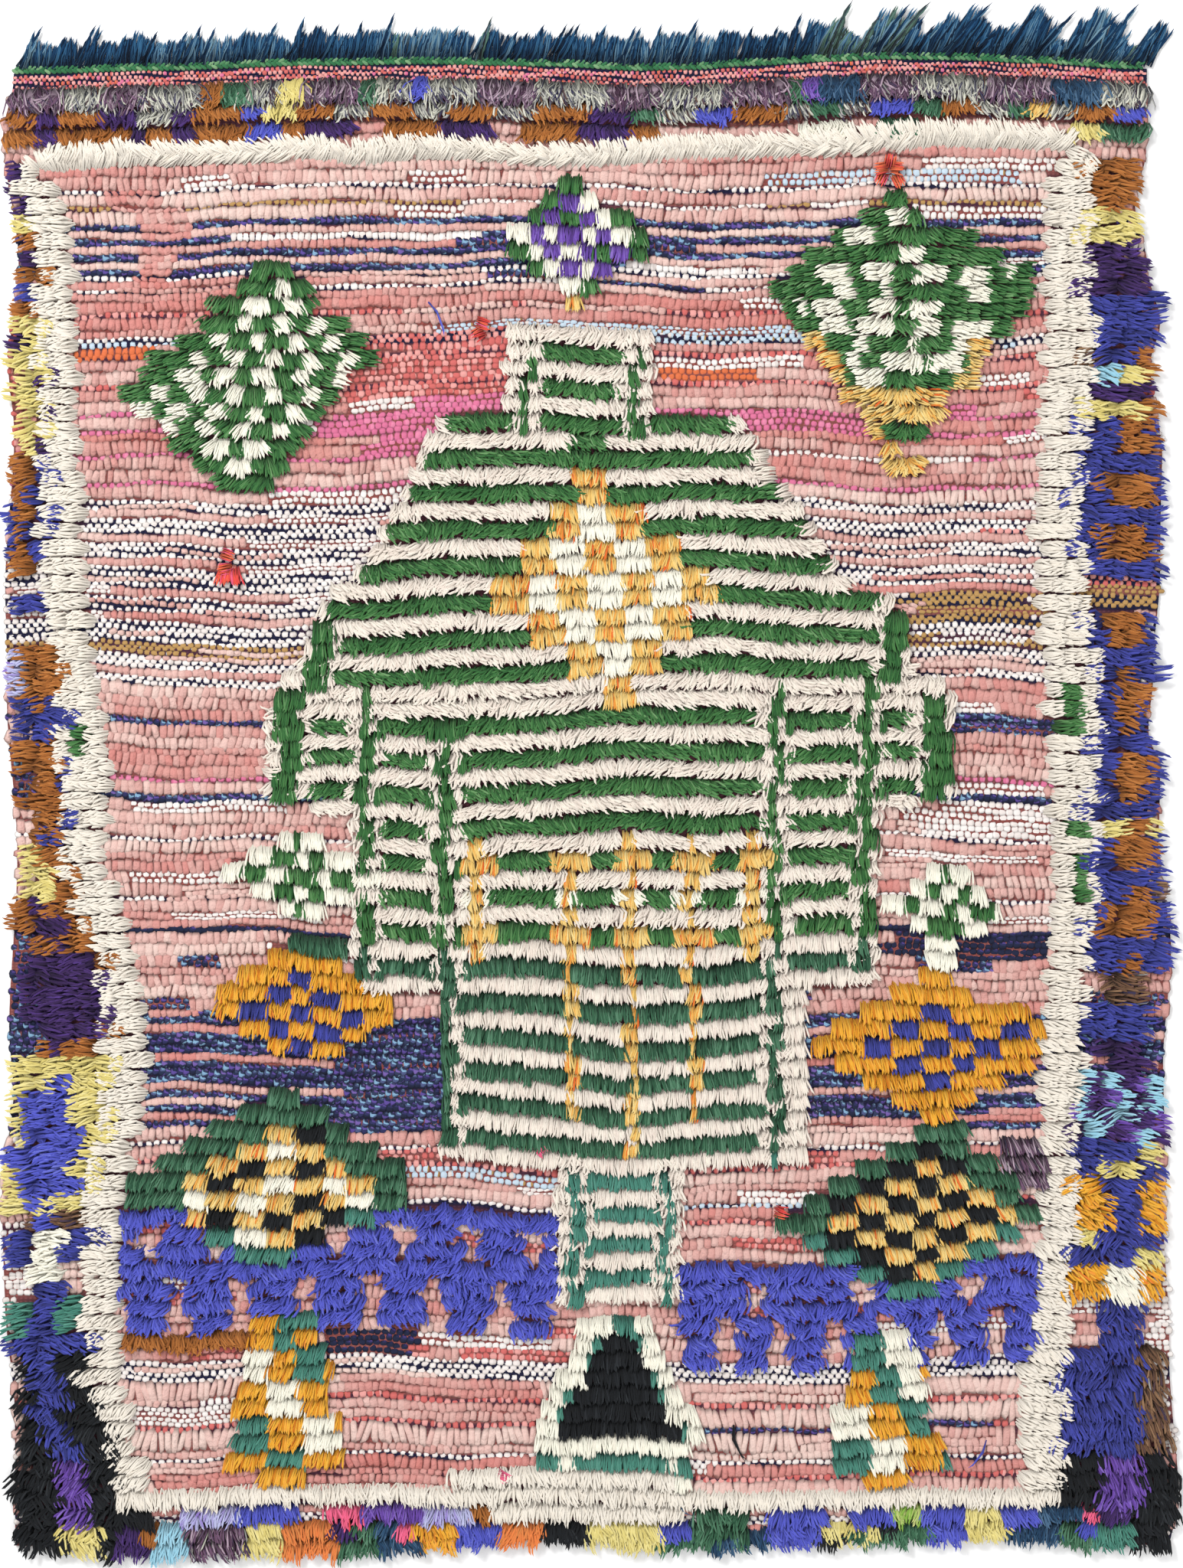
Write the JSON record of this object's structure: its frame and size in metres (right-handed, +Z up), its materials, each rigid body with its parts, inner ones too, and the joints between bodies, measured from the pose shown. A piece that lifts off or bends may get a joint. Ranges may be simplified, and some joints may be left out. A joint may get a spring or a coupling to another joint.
{
  "type": "azilal rug",
  "caption": "Flat hand-knotted wool pile rug with a pile frame, a stepped striped medallion, checked lozenges, block borders and a warp fringe at one end.",
  "frame": {"origin": "on the floor, under the middle of the whole rug with its fringe", "axes": "+X across the rug to the right, +Y along the rug towards the fringed end, +Z up out of the pile"},
  "size_m": [1.4925, 1.9496, 0.0199],
  "materials": {
    "pile_wool": "matte hand-spun wool pile in cream, green, blue, gold and many odd yarns",
    "rag_weft": "matte cotton rag weft in pinks, with finer white and navy shots",
    "warp_cotton": "matte navy cotton warp, loose at the fringed end"
  },
  "bodies": {
    "root": {"rug": "pile_wool", "fringe_top": "warp_cotton"}
  },
  "joints": []
}
